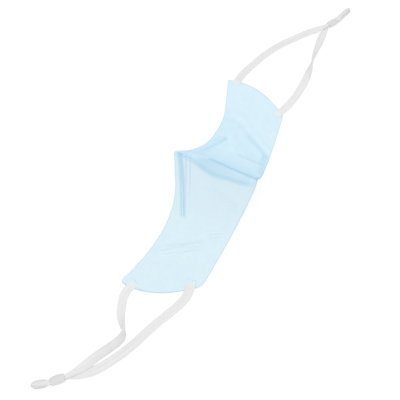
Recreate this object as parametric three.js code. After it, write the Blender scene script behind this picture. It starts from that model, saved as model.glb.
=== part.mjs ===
// A cover for the nose alone, lying with its outer face up: a cloth panel folded down its middle into a tent,
// a bendable wire in a raised channel along the nose edge, and an elastic loop with a bead at each end.
// Millimetres. While it is drawn, x runs across from the fold, y from the nose point, z up from the floor.
import * as THREE from 'three';

// Driving dimensions of the panel
const WALL = 1.1;
const TOP_SPAN = 94.4;
const BOTTOM_SPAN = 77.5;
const LEFT_END_BULGE = 6.0;
const RIGHT_END_BULGE = 6.6;
const END_SKEW = 0.25;
const END_TILT = 0.32;
const STATIONS_PER_HALF = 34;
const STATION_CROWDING = 1.5;
const ROWS_BELOW_CHANNEL = 11;

// Driving dimensions of the nose wire and its channel
const WIRE_WIDTH = 2.6;
const WIRE_THICKNESS = 0.8;
const WIRE_DROP = 4.45;
const LEFT_WIRE = { reach: 38.6, slope: 0.465 };
const RIGHT_WIRE = { reach: 37.4, slope: 0.505 };
const CHANNEL_CROWN = 1.75;
const CHANNEL_FOOT = 2.75;
const CHANNEL_OVERRUN = 1.5;
const CHANNEL_FADE = 4;
const EDGE_STRIP = 0.4;

// Driving dimensions of the elastic loops and their beads
const STRAP_WIDTH = 6.0;
const STRAP_THICKNESS = 1.0;
const NECK_WIDTH = 2.9;
const NECK_THICKNESS = 0.75;
const NECK_END = 4.5;
const LAYER_PITCH = 1.1;
const TIP_WIDTH = 5.6;
const TIP_THICKNESS = 1.2;
const TIP_PITCH = 1.6;
const TIP_WIDEST = 0.55;
const STEPS_PER_ROW = 3;
const BEAD_LENGTH = 9.6;
const BEAD_HEIGHT = 4.6;
const BEAD_WIDTH = 6.0;
const BORE_HEIGHT = 3.2;
const BEAD_SIDES = 18;

// Clearance between pieces that touch on the real thing
const GAP = 0.3;
const CHANNEL_RISE = WIRE_THICKNESS + GAP;
const WELD_LIFT = WALL + GAP;

const UP = new THREE.Vector3(0, 0, 1);

// Long edges of the panel: share of the half span, and the y of each edge there
const EDGE_ROWS = [
  { share: 0.0, leftTop: 0.0, rightTop: 0.0, leftBottom: -61.6, rightBottom: -61.6 },
  { share: 0.05, leftTop: -1.5, rightTop: -2.4, leftBottom: -61.2, rightBottom: -61.5 },
  { share: 0.1, leftTop: -4.2, rightTop: -5.4, leftBottom: -60.8, rightBottom: -61.2 },
  { share: 0.2, leftTop: -9.0, rightTop: -11.2, leftBottom: -60.0, rightBottom: -60.7 },
  { share: 0.3, leftTop: -12.1, rightTop: -14.5, leftBottom: -59.4, rightBottom: -60.2 },
  { share: 0.4, leftTop: -13.8, rightTop: -15.6, leftBottom: -58.8, rightBottom: -59.6 },
  { share: 0.5, leftTop: -14.3, rightTop: -15.7, leftBottom: -58.0, rightBottom: -58.9 },
  { share: 0.6, leftTop: -13.5, rightTop: -14.6, leftBottom: -57.2, rightBottom: -58.1 },
  { share: 0.7, leftTop: -11.9, rightTop: -12.2, leftBottom: -56.2, rightBottom: -57.2 },
  { share: 0.8, leftTop: -9.2, rightTop: -9.2, leftBottom: -55.1, rightBottom: -56.3 },
  { share: 1.0, leftTop: -2.8, rightTop: -3.2, leftBottom: -53.0, rightBottom: -54.4 },
];

// Section across the panel: share of the half span, left half negative, and the height of the inner face
const SECTION_ROWS = [
  { share: -1.0, height: 0 },
  { share: -0.9, height: 0 },
  { share: -0.82, height: 1.2 },
  { share: -0.7, height: 3.1 },
  { share: -0.5, height: 6.2 },
  { share: -0.32, height: 9.0 },
  { share: -0.16, height: 11.9 },
  { share: -0.095, height: 14.5 },
  { share: -0.05, height: 17.2 },
  { share: -0.02, height: 21.4 },
  { share: 0.0, height: 23.6 },
  { share: 0.02, height: 21.6 },
  { share: 0.05, height: 17.4 },
  { share: 0.1, height: 13.8 },
  { share: 0.2, height: 9.6 },
  { share: 0.32, height: 7.1 },
  { share: 0.5, height: 4.6 },
  { share: 0.7, height: 2.3 },
  { share: 0.82, height: 0.9 },
  { share: 0.9, height: 0 },
  { share: 1.0, height: 0 },
];

// Fold line: share of its length from the nose edge, and its height above the section's crest
const CREST_ROWS = [
  { share: 0.0, extra: -2.3 },
  { share: 0.12, extra: -2.0 },
  { share: 0.3, extra: 0.3 },
  { share: 0.47, extra: 2.0 },
  { share: 0.72, extra: 0.8 },
  { share: 1.0, extra: 0.2 },
];
const CREST_SPREAD = 0.04;

// Soft folds that cross the cloth: the two ends, the half width and the rise
const FOLD_ROWS = [
  { fromX: 66, fromY: -16, toX: 33, toY: -57, half: 8.0, rise: 1.5 },
  { fromX: 24, fromY: -37, toX: 21, toY: -56, half: 6.0, rise: 0.8 },
  { fromX: -15, fromY: -13, toX: -19, toY: -60, half: 5.0, rise: -0.7 },
  { fromX: -68, fromY: -15, toX: -40, toY: -52, half: 7.0, rise: 0.5 },
];

// Routes of the elastic from its weld to its bead: place, gap under the band, and turn of the band from flat
const LEFT_LOWER_ROUTE = [
  { x: -78.2, y: -46.0, lift: WELD_LIFT, turn: 0 },
  { x: -83.2, y: -46.9, lift: WELD_LIFT, turn: 0 },
  { x: -88.2, y: -46.8, lift: WELD_LIFT, turn: 0 },
  { x: -93.6, y: -45.4, lift: 0.6, turn: 0 },
  { x: -99.5, y: -42.8, lift: 0, turn: 0 },
  { x: -108.6, y: -38.4, lift: 0, turn: 0 },
  { x: -118.9, y: -33.9, lift: 0, turn: 0 },
  { x: -128.7, y: -30.1, lift: 0, turn: 0 },
  { x: -137.9, y: -25.7, lift: 0, turn: 0 },
  { x: -146.7, y: -20.5, lift: 0, turn: 0 },
  { x: -153.9, y: -15.2, lift: 0, turn: 0 },
  { x: -160.2, y: -8.6, lift: 0.4, turn: 0 },
];
const LEFT_UPPER_ROUTE = [
  { x: -90.6, y: -12.6, lift: WELD_LIFT, turn: -180 },
  { x: -95.4, y: -10.9, lift: WELD_LIFT, turn: -180 },
  { x: -100.2, y: -9.8, lift: WELD_LIFT, turn: -178 },
  { x: -104.9, y: -10.2, lift: 0.5, turn: -172 },
  { x: -109.5, y: -11.6, lift: 0, turn: -167 },
  { x: -114.3, y: -13.4, lift: 0, turn: -158 },
  { x: -118.4, y: -15.8, lift: 0, turn: -140 },
  { x: -121.5, y: -18.1, lift: 0, turn: -118 },
  { x: -124.3, y: -20.4, lift: 0, turn: -92 },
  { x: -127.6, y: -21.6, lift: 0, turn: -66 },
  { x: -131.5, y: -20.9, lift: 0, turn: -48 },
  { x: -139.9, y: -16.5, lift: 0.2, turn: -38 },
  { x: -145.1, y: -13.4, lift: 0.4, turn: -33 },
  { x: -151.9, y: -9.9, lift: 0.8, turn: -25 },
  { x: -157.7, y: -6.6, lift: 1.5, turn: -13 },
];
const RIGHT_UPPER_ROUTE = [
  { x: 91.2, y: -10.1, lift: WELD_LIFT, turn: 0 },
  { x: 96.4, y: -10.6, lift: WELD_LIFT, turn: 0 },
  { x: 101.6, y: -11.3, lift: WELD_LIFT, turn: 0 },
  { x: 108.0, y: -12.6, lift: 0.4, turn: 0 },
  { x: 116.1, y: -15.1, lift: 0, turn: 0 },
  { x: 128.0, y: -19.3, lift: 0, turn: 0 },
  { x: 141.4, y: -25.8, lift: 0, turn: 0 },
  { x: 149.2, y: -30.9, lift: 0, turn: 0 },
  { x: 155.3, y: -35.7, lift: 0, turn: -3 },
  { x: 161.8, y: -40.7, lift: 0, turn: -10 },
  { x: 167.6, y: -45.8, lift: 0, turn: -24 },
  { x: 172.6, y: -51.2, lift: 0.2, turn: -42 },
];
const RIGHT_LOWER_ROUTE = [
  { x: 76.7, y: -49.9, lift: WELD_LIFT, turn: -180 },
  { x: 81.2, y: -52.3, lift: WELD_LIFT, turn: -180 },
  { x: 86.2, y: -54.2, lift: WELD_LIFT, turn: -180 },
  { x: 91.8, y: -55.6, lift: 0.7, turn: -180 },
  { x: 98.7, y: -56.9, lift: 0, turn: -180 },
  { x: 108.5, y: -58.1, lift: 0, turn: -175 },
  { x: 117.6, y: -58.8, lift: 0, turn: -155 },
  { x: 126.3, y: -58.9, lift: 0, turn: -128 },
  { x: 135.5, y: -58.2, lift: 0, turn: -90 },
  { x: 142.0, y: -57.4, lift: 0, turn: -52 },
  { x: 149.0, y: -56.9, lift: 0, turn: -22 },
  { x: 156.5, y: -56.6, lift: 0, turn: -4 },
  { x: 164.5, y: -56.2, lift: 0, turn: -14 },
  { x: 171.6, y: -56.9, lift: 0.2, turn: -42 },
];

// Beads: centre, heading of the bore and of the tip loop in degrees, turn of the wide side from flat,
// side of the first layer, and the tip loop's length, its drop, and the length over which the band opens out
const LEFT_BEAD = {
  x: -168.3, y: 2.2, heading: 133, tipHeading: 121, turn: 0, side: -1, tip: 11.5, drop: 0.9, blend: 12,
};
const RIGHT_BEAD = {
  x: 183.2, y: -59.5, heading: -24.4, tipHeading: -22, turn: -62, side: 1, tip: 17.6, drop: 0.4, blend: 6,
};

// A smooth value read off a table by one of its columns
function reader(rows, key, column) {
  const places = rows.map((row) => row[key]);
  const values = rows.map((row) => row[column]);
  const cubic = new THREE.CubicInterpolant(places, values, 1, [0]);
  return (place) => cubic.evaluate(place)[0];
}

const leftTop = reader(EDGE_ROWS, 'share', 'leftTop');
const rightTop = reader(EDGE_ROWS, 'share', 'rightTop');
const leftBottom = reader(EDGE_ROWS, 'share', 'leftBottom');
const rightBottom = reader(EDGE_ROWS, 'share', 'rightBottom');
const section = reader(SECTION_ROWS, 'share', 'height');
const crest = reader(CREST_ROWS, 'share', 'extra');

function topEdge(share) {
  return share < 0 ? leftTop(-share) : rightTop(share);
}

function bottomEdge(share) {
  return share < 0 ? leftBottom(-share) : rightBottom(share);
}

// Place of a panel point seen from above: share across from the fold, and depth below the nose edge
function plan(share, depth) {
  const side = Math.sign(share);
  const reach = Math.abs(share);
  const most = side < 0 ? LEFT_END_BULGE : RIGHT_END_BULGE;
  const bulge = most * 4 * depth * (1 - depth) * (1 + END_SKEW * (1 - 2 * depth)) * reach ** 4;
  const x = side * (reach * THREE.MathUtils.lerp(TOP_SPAN, BOTTOM_SPAN, depth) + bulge);
  const y = THREE.MathUtils.lerp(topEdge(share), bottomEdge(share), depth) - bulge * END_TILT;
  return new THREE.Vector2(x, y);
}

function wireSide(share) {
  return share < 0 ? LEFT_WIRE : RIGHT_WIRE;
}

// Distance of the wire's middle below the nose edge, held level beyond the wire's end
function wireDrop(share) {
  const side = wireSide(share);
  const reach = Math.min(Math.abs(share) * TOP_SPAN, side.reach);
  const held = (Math.sign(share) * reach) / TOP_SPAN;
  return topEdge(held) + WIRE_DROP + side.slope * reach;
}

function panelHeight(share) {
  return topEdge(share) - bottomEdge(share);
}

// Rise of the soft folds at a place on the plan
function folds(place) {
  let rise = 0;
  for (const fold of FOLD_ROWS) {
    const start = new THREE.Vector2(fold.fromX, fold.fromY);
    const run = new THREE.Vector2(fold.toX, fold.toY).sub(start);
    const offset = place.clone().sub(start);
    const share = offset.dot(run) / run.lengthSq();
    const aside = Math.abs(offset.cross(run)) / run.length();
    const fading = 1 - THREE.MathUtils.smoothstep(share, 0.85, 1.1);
    const ends = THREE.MathUtils.smoothstep(share, 0, 0.25) * fading;
    rise += fold.rise * ends * Math.max(0, 1 - (aside / fold.half) ** 2) ** 2;
  }
  return rise;
}

// Height of the inner face of the cloth without the wire's channel
function innerFace(share, depth) {
  const bell = Math.exp(-((share / CREST_SPREAD) ** 2));
  return Math.max(0, section(share) + crest(depth) * bell + folds(plan(share, depth)));
}

// Height of the channel over the wire
function channel(share, depth) {
  const aside = Math.abs(depth * panelHeight(share) - wireDrop(share));
  const reach = Math.abs(share) * TOP_SPAN - wireSide(share).reach;
  const across = 1 - THREE.MathUtils.smoothstep(aside, CHANNEL_CROWN, CHANNEL_FOOT);
  return CHANNEL_RISE * across * (1 - THREE.MathUtils.smoothstep(reach, CHANNEL_OVERRUN, CHANNEL_FADE));
}

// How much thicker the wall is measured upright where the cloth is steep
function steepness(share, depth) {
  const step = 0.006;
  const span = THREE.MathUtils.lerp(TOP_SPAN, BOTTOM_SPAN, depth);
  const slope = (innerFace(share + step, depth) - innerFace(share - step, depth)) / (2 * step * span);
  return Math.hypot(1, slope);
}

function panelPoint(share, depth, layer) {
  const { x, y } = plan(share, depth);
  const z = innerFace(share, depth) + channel(share, depth) + layer * WALL * steepness(share, depth);
  return new THREE.Vector3(x, y, z);
}

// Depths of the grid rows at a station: the rows beside the wire follow it, and the rest share what is left
function rowDepths(share) {
  const height = panelHeight(share);
  const drop = wireDrop(share);
  const steps = [-CHANNEL_FOOT, -CHANNEL_CROWN, 0, CHANNEL_CROWN, CHANNEL_FOOT];
  const beside = steps.map((step, row) => Math.max(drop + step, EDGE_STRIP * (row + 1)) / height);
  const depths = [0, beside[0] / 2, ...beside];
  const last = beside.at(-1);
  for (let row = 1; row <= ROWS_BELOW_CHANNEL; row++) {
    depths.push(last + ((1 - last) * row) / ROWS_BELOW_CHANNEL);
  }
  return depths;
}

function stations() {
  const shares = [];
  for (let step = -STATIONS_PER_HALF; step <= STATIONS_PER_HALF; step++) {
    const even = step / STATIONS_PER_HALF;
    shares.push(Math.sign(even) * Math.abs(even) ** STATION_CROWDING);
  }
  return shares;
}

// Closed solid through rings of points, where each end cap pairs a ring's first and last points
function skin(rings) {
  const count = rings[0].length;
  const faces = [];
  const quad = (a, b, c, d) => faces.push(a, b, c, a, c, d);
  for (let ring = 0; ring + 1 < rings.length; ring++) {
    for (let k = 0; k < count; k++) {
      const here = ring * count;
      const next = (k + 1) % count;
      quad(here + k, here + next, here + count + next, here + count + k);
    }
  }
  const last = (rings.length - 1) * count;
  for (let k = 0; k + 1 < count / 2; k++) {
    const mate = count - 1 - k;
    quad(k, mate, mate - 1, k + 1);
    quad(last + k, last + k + 1, last + mate - 1, last + mate);
  }
  const geometry = new THREE.BufferGeometry().setFromPoints(rings.flat());
  geometry.setIndex(faces);
  geometry.computeVertexNormals();
  return geometry;
}

function part(name, geometry, color, roughness) {
  const mesh = new THREE.Mesh(geometry, new THREE.MeshStandardMaterial({ color, roughness, metalness: 0 }));
  mesh.name = name;
  return mesh;
}

// Folded cloth panel with its channel
function panel() {
  const rings = stations().map((share) => {
    const depths = rowDepths(share);
    const outer = depths.map((depth) => panelPoint(share, depth, 1));
    const inner = depths.map((depth) => panelPoint(share, depth, 0));
    return [...outer, ...inner.reverse()];
  });
  return part('panel', skin(rings), 0xd4ebf6, 0.9);
}

// Flat wire that lies in the channel's hollow, just under the cloth
function noseWire() {
  const ends = [-LEFT_WIRE.reach / TOP_SPAN, RIGHT_WIRE.reach / TOP_SPAN];
  const between = stations().filter((share) => share > ends[0] && share < ends[1]);
  const rings = [ends[0], ...between, ends[1]].map((share) => {
    const height = panelHeight(share);
    const drop = wireDrop(share);
    const half = (WIRE_WIDTH / 2) * Math.hypot(1, wireSide(share).slope);
    const depths = [(drop - half) / height, (drop + half) / height];
    const sheet = (depth, sunk) => {
      const point = panelPoint(share, depth, 0);
      point.z -= sunk * steepness(share, depth);
      return point;
    };
    const top = depths.map((depth) => sheet(depth, GAP));
    const under = depths.map((depth) => sheet(depth, GAP + WIRE_THICKNESS));
    return [...top, ...under.reverse()];
  });
  return part('nose_wire', skin(rings), 0xb9d6e4, 0.5);
}

// Directions at a bore or a tip loop: outward, across its wide side, and from one layer to the other
function directions(headingDegrees, turnDegrees) {
  const heading = THREE.MathUtils.degToRad(headingDegrees);
  const turn = THREE.MathUtils.degToRad(turnDegrees);
  const axis = new THREE.Vector3(Math.cos(heading), Math.sin(heading), 0);
  const level = UP.clone().cross(axis);
  const wide = level.multiplyScalar(Math.cos(turn)).addScaledVector(UP, Math.sin(turn));
  return { axis, wide, layers: axis.clone().cross(wide) };
}

// Middle of a bead that lies on the floor
function beadCentre(bead) {
  const turn = THREE.MathUtils.degToRad(bead.turn);
  const half = Math.hypot(BEAD_WIDTH * Math.sin(turn), BEAD_HEIGHT * Math.cos(turn)) / 2;
  return new THREE.Vector3(bead.x, bead.y, half);
}

// Share of the band's full section at a place: bunched up inside the bead, flat away from it
function spread(place, centre, blend) {
  return THREE.MathUtils.smoothstep(place.distanceTo(centre), NECK_END, NECK_END + blend);
}

// Width of the band round the tip loop, by the share of the tip's length: it widens, then rounds off
function tipWidth(share) {
  if (share < TIP_WIDEST) {
    return THREE.MathUtils.lerp(NECK_WIDTH, TIP_WIDTH, THREE.MathUtils.smoothstep(share, 0, TIP_WIDEST));
  }
  const past = (share - TIP_WIDEST) / (1 - TIP_WIDEST);
  return Math.max(NECK_WIDTH / 2, TIP_WIDTH * Math.sqrt(1 - Math.min(1, past) ** 3));
}

// Rows of the band inside its bead and round the tip loop, out in one layer and back in the other
function tipRows(bead) {
  const centre = beadCentre(bead);
  const bore = directions(bead.heading, bead.turn);
  const loop = directions(bead.tipHeading, bead.turn);
  const end = BEAD_LENGTH / 2;
  const bend = TIP_PITCH / 2;
  const half = LAYER_PITCH / 2;
  const inside = (out, layer) => ({
    place: centre.clone().addScaledVector(bore.axis, out).addScaledVector(bore.layers, layer * half),
    along: bore.axis,
    reach: 0,
  });
  const mouth = centre.clone().addScaledVector(bore.axis, end);
  const beyond = (out, layer) => ({
    place: mouth.clone().addScaledVector(loop.axis, out).addScaledVector(loop.layers, layer * bend)
      .addScaledVector(UP, -bead.drop * THREE.MathUtils.smoothstep(out, 0, bead.tip / 2)),
    along: loop.axis,
    reach: out / bead.tip,
  });
  const side = bead.side;
  const slant = Math.SQRT1_2;
  const out = [-end, -end / 3, end / 3, end].map((place) => inside(place, side));
  const back = [end, end / 3, -end / 3, -end].map((place) => inside(place, -side));
  const round = [
    beyond(0.3 * bead.tip, side),
    beyond(0.6 * bead.tip, side),
    beyond(bead.tip - bend, side),
    beyond(bead.tip - bend + bend * slant, side * slant),
    beyond(bead.tip, 0),
    beyond(bead.tip - bend + bend * slant, -side * slant),
    beyond(bead.tip - bend, -side),
    beyond(0.6 * bead.tip, -side),
    beyond(0.3 * bead.tip, -side),
  ];
  return [...out, ...round, ...back].map((row) => ({ ...row, turn: bead.turn, way: 0 }));
}

// Rows of one strand, with the height of the band's middle worked out from its width and turn
function strandRows(route, bead, way) {
  const centre = beadCentre(bead).setZ(0);
  return route.map(({ x, y, lift, turn }) => {
    const place = new THREE.Vector3(x, y, 0);
    const width = THREE.MathUtils.lerp(NECK_WIDTH, STRAP_WIDTH, spread(place, centre, bead.blend));
    const angle = THREE.MathUtils.degToRad(turn);
    const half = (width * Math.abs(Math.sin(angle)) + STRAP_THICKNESS * Math.abs(Math.cos(angle))) / 2;
    return { place: place.setZ(lift + half), turn, way };
  });
}

// Outline of the band's section, with its corners taken off
function bandSection(width, thickness) {
  const side = width / 2;
  const inset = side - 0.07 * width;
  const face = thickness / 2;
  const edge = face / 2;
  const quarter = [[side, edge], [inset, face]];
  const mirrored = quarter.map(([a, b]) => [-a, b]).reverse();
  const upper = [...quarter, ...mirrored];
  return [...upper, ...upper.map(([a, b]) => [-a, -b])];
}

// Flat elastic from its first weld, through the bead, round the tip and back to its second weld
function earLoop(name, bead, firstRoute, secondRoute) {
  const centre = beadCentre(bead);
  const first = strandRows(firstRoute, bead, 1);
  const second = strandRows(secondRoute, bead, -1).reverse();
  const rows = [...first, ...tipRows(bead), ...second];
  const path = new THREE.CatmullRomCurve3(rows.map((row) => row.place), false, 'centripetal');
  const steps = (rows.length - 1) * STEPS_PER_ROW;
  const rings = [];
  for (let step = 0; step <= steps; step++) {
    const place = path.getPoint(step / steps);
    const along = path.getTangent(step / steps);
    const index = Math.min(Math.floor(step / STEPS_PER_ROW), rows.length - 2);
    const [row, next] = rows.slice(index, index + 2);
    const between = step / STEPS_PER_ROW - index;
    const turn = THREE.MathUtils.degToRad(THREE.MathUtils.lerp(row.turn, next.turn, between));
    const way = row.way || next.way;
    const level = along.clone().setZ(0).multiplyScalar(way).normalize();
    const outward = row.along && next.along ? row.along : level;
    const flat = UP.clone().cross(outward);
    const across = flat.multiplyScalar(Math.cos(turn)).addScaledVector(UP, Math.sin(turn));
    across.addScaledVector(along, -along.dot(across)).normalize();
    const normal = along.clone().cross(across);
    const open = spread(place, centre, bead.blend);
    const reach = way ? 0 : THREE.MathUtils.lerp(row.reach, next.reach, between);
    const width = way ? THREE.MathUtils.lerp(NECK_WIDTH, STRAP_WIDTH, open) : tipWidth(reach);
    const full = way ? STRAP_THICKNESS : TIP_THICKNESS;
    const thickness = THREE.MathUtils.lerp(NECK_THICKNESS, full, way ? open : Math.min(1, 3 * reach));
    const outline = bandSection(width, thickness);
    const ring = outline.map(([a, b]) => place.clone().addScaledVector(across, a).addScaledVector(normal, b));
    const sunk = Math.min(0, ...ring.map((point) => point.z));
    rings.push(ring.map((point) => point.setZ(point.z - sunk)));
  }
  return part(name, skin(rings), 0xefefee, 0.85);
}

// Barrel bead with an oval bore along its length
function adjuster(name, bead) {
  const end = BEAD_LENGTH / 2;
  const rim = BEAD_HEIGHT / 2;
  const bore = BORE_HEIGHT / 2;
  const lip = (bore + rim) / 2;
  const profile = [
    [bore, -end + 0.5], [bore + 0.25, -end], [lip, -end], [rim - 0.25, -0.75 * end], [rim, -0.3 * end],
    [rim, 0.3 * end], [rim - 0.25, 0.75 * end], [lip, end], [bore + 0.25, end], [bore, end - 0.5],
  ];
  const ring = [...profile, profile[0]].map(([radius, along]) => new THREE.Vector2(radius, along));
  const geometry = new THREE.LatheGeometry(ring, BEAD_SIDES);
  geometry.scale(BEAD_WIDTH / BEAD_HEIGHT, 1, 1);
  const { axis, wide } = directions(bead.heading, bead.turn);
  const basis = new THREE.Matrix4().makeBasis(wide, axis, wide.clone().cross(axis));
  const mesh = part(name, geometry, 0xe2e2e0, 0.45);
  mesh.quaternion.setFromRotationMatrix(basis);
  mesh.position.copy(beadCentre(bead));
  return mesh;
}

const cover = new THREE.Group();
cover.add(panel(), noseWire());
cover.add(earLoop('ear_loop_left', LEFT_BEAD, LEFT_LOWER_ROUTE, LEFT_UPPER_ROUTE));
cover.add(earLoop('ear_loop_right', RIGHT_BEAD, RIGHT_UPPER_ROUTE, RIGHT_LOWER_ROUTE));
cover.add(adjuster('adjuster_left', LEFT_BEAD), adjuster('adjuster_right', RIGHT_BEAD));

// The origin is the middle of the whole object's footprint, on the floor
const box = new THREE.Box3().setFromObject(cover, true);
const middle = box.getCenter(new THREE.Vector3());
cover.position.set(-middle.x, -middle.y, -box.min.z);

export default cover;
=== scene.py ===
# Nose cover of light-blue non-woven cloth, lying on a white floor with its outer face up.
# Shapes are set out in millimetres from the nose point: x across from the fold, y up the nose, z up.
import bpy
import bmesh
import math
from mathutils import Matrix, Vector, noise


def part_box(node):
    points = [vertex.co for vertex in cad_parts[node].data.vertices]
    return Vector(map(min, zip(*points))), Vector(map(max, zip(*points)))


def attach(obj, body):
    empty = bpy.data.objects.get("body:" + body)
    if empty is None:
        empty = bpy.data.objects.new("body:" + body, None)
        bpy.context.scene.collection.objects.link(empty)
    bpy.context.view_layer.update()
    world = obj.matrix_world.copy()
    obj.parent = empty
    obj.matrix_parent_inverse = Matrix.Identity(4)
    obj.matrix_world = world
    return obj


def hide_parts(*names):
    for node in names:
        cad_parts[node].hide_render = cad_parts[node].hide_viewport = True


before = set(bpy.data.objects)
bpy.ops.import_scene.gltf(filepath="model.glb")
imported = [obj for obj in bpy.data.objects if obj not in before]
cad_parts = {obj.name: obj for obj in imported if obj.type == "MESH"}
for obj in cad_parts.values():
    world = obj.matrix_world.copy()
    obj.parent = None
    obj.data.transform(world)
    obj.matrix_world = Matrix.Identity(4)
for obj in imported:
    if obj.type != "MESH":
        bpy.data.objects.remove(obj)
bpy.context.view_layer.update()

MM = 0.001
UP = Vector((0, 0, 1))
PANEL_LEFT_REACH = 95.47
panel_low, panel_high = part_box("panel")
NOSE_POINT = Vector((panel_low.x + PANEL_LEFT_REACH * MM, panel_high.y, 0))

# Cloth panel
CLOTH_THICKNESS = 0.6
CLOTH_HALF_LENGTH = 102.5
TOP_SPAN = 94.4
BOTTOM_SPAN = 77.5
LEFT_END_BULGE = 6.0
RIGHT_END_BULGE = 6.6
END_SKEW = 0.25
END_TILT = 0.32
CLOTH_COLUMNS = 300
CLOTH_ROWS = 136
COLUMN_CROWDING = 1.6
FLOOR_OFFSET = 0.33
TENT_OFFSET = 0.8
LEFT_CORNER_ROUNDING = 2.6
RIGHT_CORNER_ROUNDING = 1.4
HEM_WELD_INSET = 3.6

# Share of the half span to each side of a place, over which its slope is taken
SLOPE_STEP = 0.004

# Grid rows of the cloth: shares of them above the wire's channel and in it, and the strip where they crowd
ROWS_ABOVE_CHANNEL = 0.1
ROWS_IN_CHANNEL = 0.25
CROWDED_ABOVE_WIRE = 2.9
CROWDED_BELOW_WIRE = 3.1
LEAST_TOP_STRIP = 0.6

# Nose wire and the channel over it
WIRE_WIDTH = 2.6
WIRE_THICKNESS = 0.7
WIRE_DROP = 4.45
WIRE_END_GAP = 0.6
WIRE_LIFT = 0.1
WIRE_STEPS = 120
WIRE_SIDES = 28
LEFT_WIRE = dict(reach=39.0, slope=0.465)
RIGHT_WIRE = dict(reach=36.6, slope=0.505)
CHANNEL_RISE = 0.9
CORE_ASIDE = 0.75

# Distance along the wire from the fold, and how far it bows down from a straight line, left and right
WIRE_BOW_ROWS = [
    (0.0, -0.3, -0.3), (3.0, -0.1, -0.1), (7.0, 0.5, 0.0), (12.0, 0.68, 0.0), (18.0, 0.78, 0.0),
    (24.0, 0.7, 0.0), (30.0, 0.45, 0.0), (39.0, 0.0, 0.0),
]

# Elastic and beads
BAND_WIDTH = 6.0
BAND_THICKNESS = 1.0
NECK_WIDTH = 3.1
NECK_THICKNESS = 1.1
NECK_END = 4.5
LAYER_PITCH = 1.2
TIP_WIDTH = 4.9
TIP_THICKNESS = 1.8
TIP_PITCH = 1.2
WELD_LENGTH = 5.2
WELD_LIFT = 0.55
BAND_STEPS_PER_ROW = 10
BAND_SIDES = 44
BAND_SOFTNESS = 0.45
TIP_SOFTNESS = 0.65
RIB_DEPTH = 0.1
RIBS_PER_HALF = 3.5
WELD_SINK = 0.2
MELT_SINK = 0.25
FLOOR_GAP = 0.02
# Strength of the painted shade where the elastic stands on edge
TWIST_SHADE = 0.35
BEAD_LENGTH = 9.6
BEAD_HEIGHT = 4.6
BEAD_WIDTH = 6.0
BEAD_STEPS = 40

# Share of the half span, then y of the nose edge and of the lower edge, left and right
EDGE_ROWS = [
    (0.0, 0.0, 0.0, -61.6, -61.6),
    (0.05, -2.3, -2.4, -61.2, -61.5),
    (0.1, -4.5, -5.4, -60.8, -61.2),
    (0.2, -9.0, -11.2, -60.0, -60.7),
    (0.3, -12.1, -14.5, -59.4, -60.2),
    (0.4, -13.8, -15.6, -58.8, -59.6),
    (0.5, -14.3, -15.7, -58.0, -58.9),
    (0.6, -13.5, -14.6, -57.2, -58.1),
    (0.7, -11.9, -12.2, -56.2, -57.2),
    (0.8, -9.2, -9.2, -55.1, -56.3),
    (1.0, -2.8, -3.2, -53.0, -54.4),
]

# Share of the half span, and height of the inner face, without the fold's own rise
LEFT_SLOPE_ROWS = [
    (0.0, 20.9), (0.02, 19.4), (0.05, 17.2), (0.095, 14.5), (0.16, 11.9), (0.32, 9.0),
    (0.5, 6.2), (0.7, 3.1), (0.82, 1.2), (0.9, 0.0), (1.0, 0.0),
]
RIGHT_SLOPE_ROWS = [
    (0.0, 21.5), (0.02, 20.0), (0.05, 17.4), (0.1, 13.8), (0.2, 9.6), (0.32, 7.1),
    (0.5, 4.6), (0.7, 2.3), (0.82, 0.9), (0.9, 0.0), (1.0, 0.0),
]
LEFT_CREST = LEFT_SLOPE_ROWS[0][1]
RIGHT_CREST = RIGHT_SLOPE_ROWS[0][1]
RIGHT_FOLD_REACH = 6.0

# Depth from the nose edge, height of the fold line, and how far it leans to the right
FOLD_LINE_ROWS = [
    (0.0, 21.3, 0.0), (0.12, 22.0, 0.6), (0.3, 24.6, 1.5),
    (0.47, 26.1, 1.3), (0.72, 24.7, 0.6), (1.0, 23.8, 0.0),
]
FOLD_LEAN_WIDTH = 7

# Depth from the nose edge, and reach of the hollow below the fold on the left half
HOLLOW_ROWS = [
    (0.0, 1.2), (0.14, 1.3), (0.2, 1.7), (0.25, 2.3), (0.31, 3.1), (0.43, 5.2),
    (0.52, 5.6), (0.68, 5.0), (0.82, 4.7), (0.89, 4.2), (1.0, 3.0),
]

# Folds and creases: two ends, half width, rise, sharpness of the crest, and the painted shade on it as
# deeper blue, painted highlight below nought
CREASE_ROWS = [
    (66, -16, 33, -57, 8.0, 1.2, 2.0, 0.0),
    (60, -19, 32, -59, 4.0, -0.5, 2.0, 0.12),
    (48, -34, 30, -60, 3.0, -0.35, 1.8, 0.16),
    (65, -18, 36, -58, 4.0, 0.25, 2.0, -0.05),
    (24.8, -34, 23.8, -58, 3.0, -0.45, 1.8, 0.18),
    (37, -55, 12, -59, 3.2, -0.55, 2.0, 0.3),
    (30, -43, 28, -62, 4.0, -0.6, 2.0, 0.05),
    (44, -24, 25, -33, 3.5, 0.4, 2.0, -0.1),
    (-11, -27, -22, -61, 4.5, -0.6, 2.0, 0.05),
    (-68, -15, -40, -52, 7.0, 0.5, 2.0, 0.0),
    (-69.0, -17.4, -53.0, -39.4, 1.4, 0.4, 1.2, -0.1),
    (-67.4, -16.2, -48.2, -43.5, 1.4, 0.42, 1.2, 0.1),
    (-65.3, -15.5, -48.4, -41.8, 1.4, 0.38, 1.2, 0.1),
    (-64.7, -27.8, -52.8, -43.3, 1.3, 0.34, 1.2, 0.1),
    (-45.0, -42.8, -39.2, -52.9, 1.3, 0.36, 1.2, 0.1),
    (-46.9, -43.6, -41.8, -53.2, 1.3, 0.34, 1.2, 0.08),
]

# Patches of fine parallel crinkles on the left half: from and to along the lines, then across them
CRINKLE_TURN = 61.9
CRINKLE_PITCH = 2.45
CRINKLE_START = -65.2
CRINKLE_PATCHES = [(-15, -4, -71.5, -64), (0, 12, -70, -62), (16, 28, -63, -57)]

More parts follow.
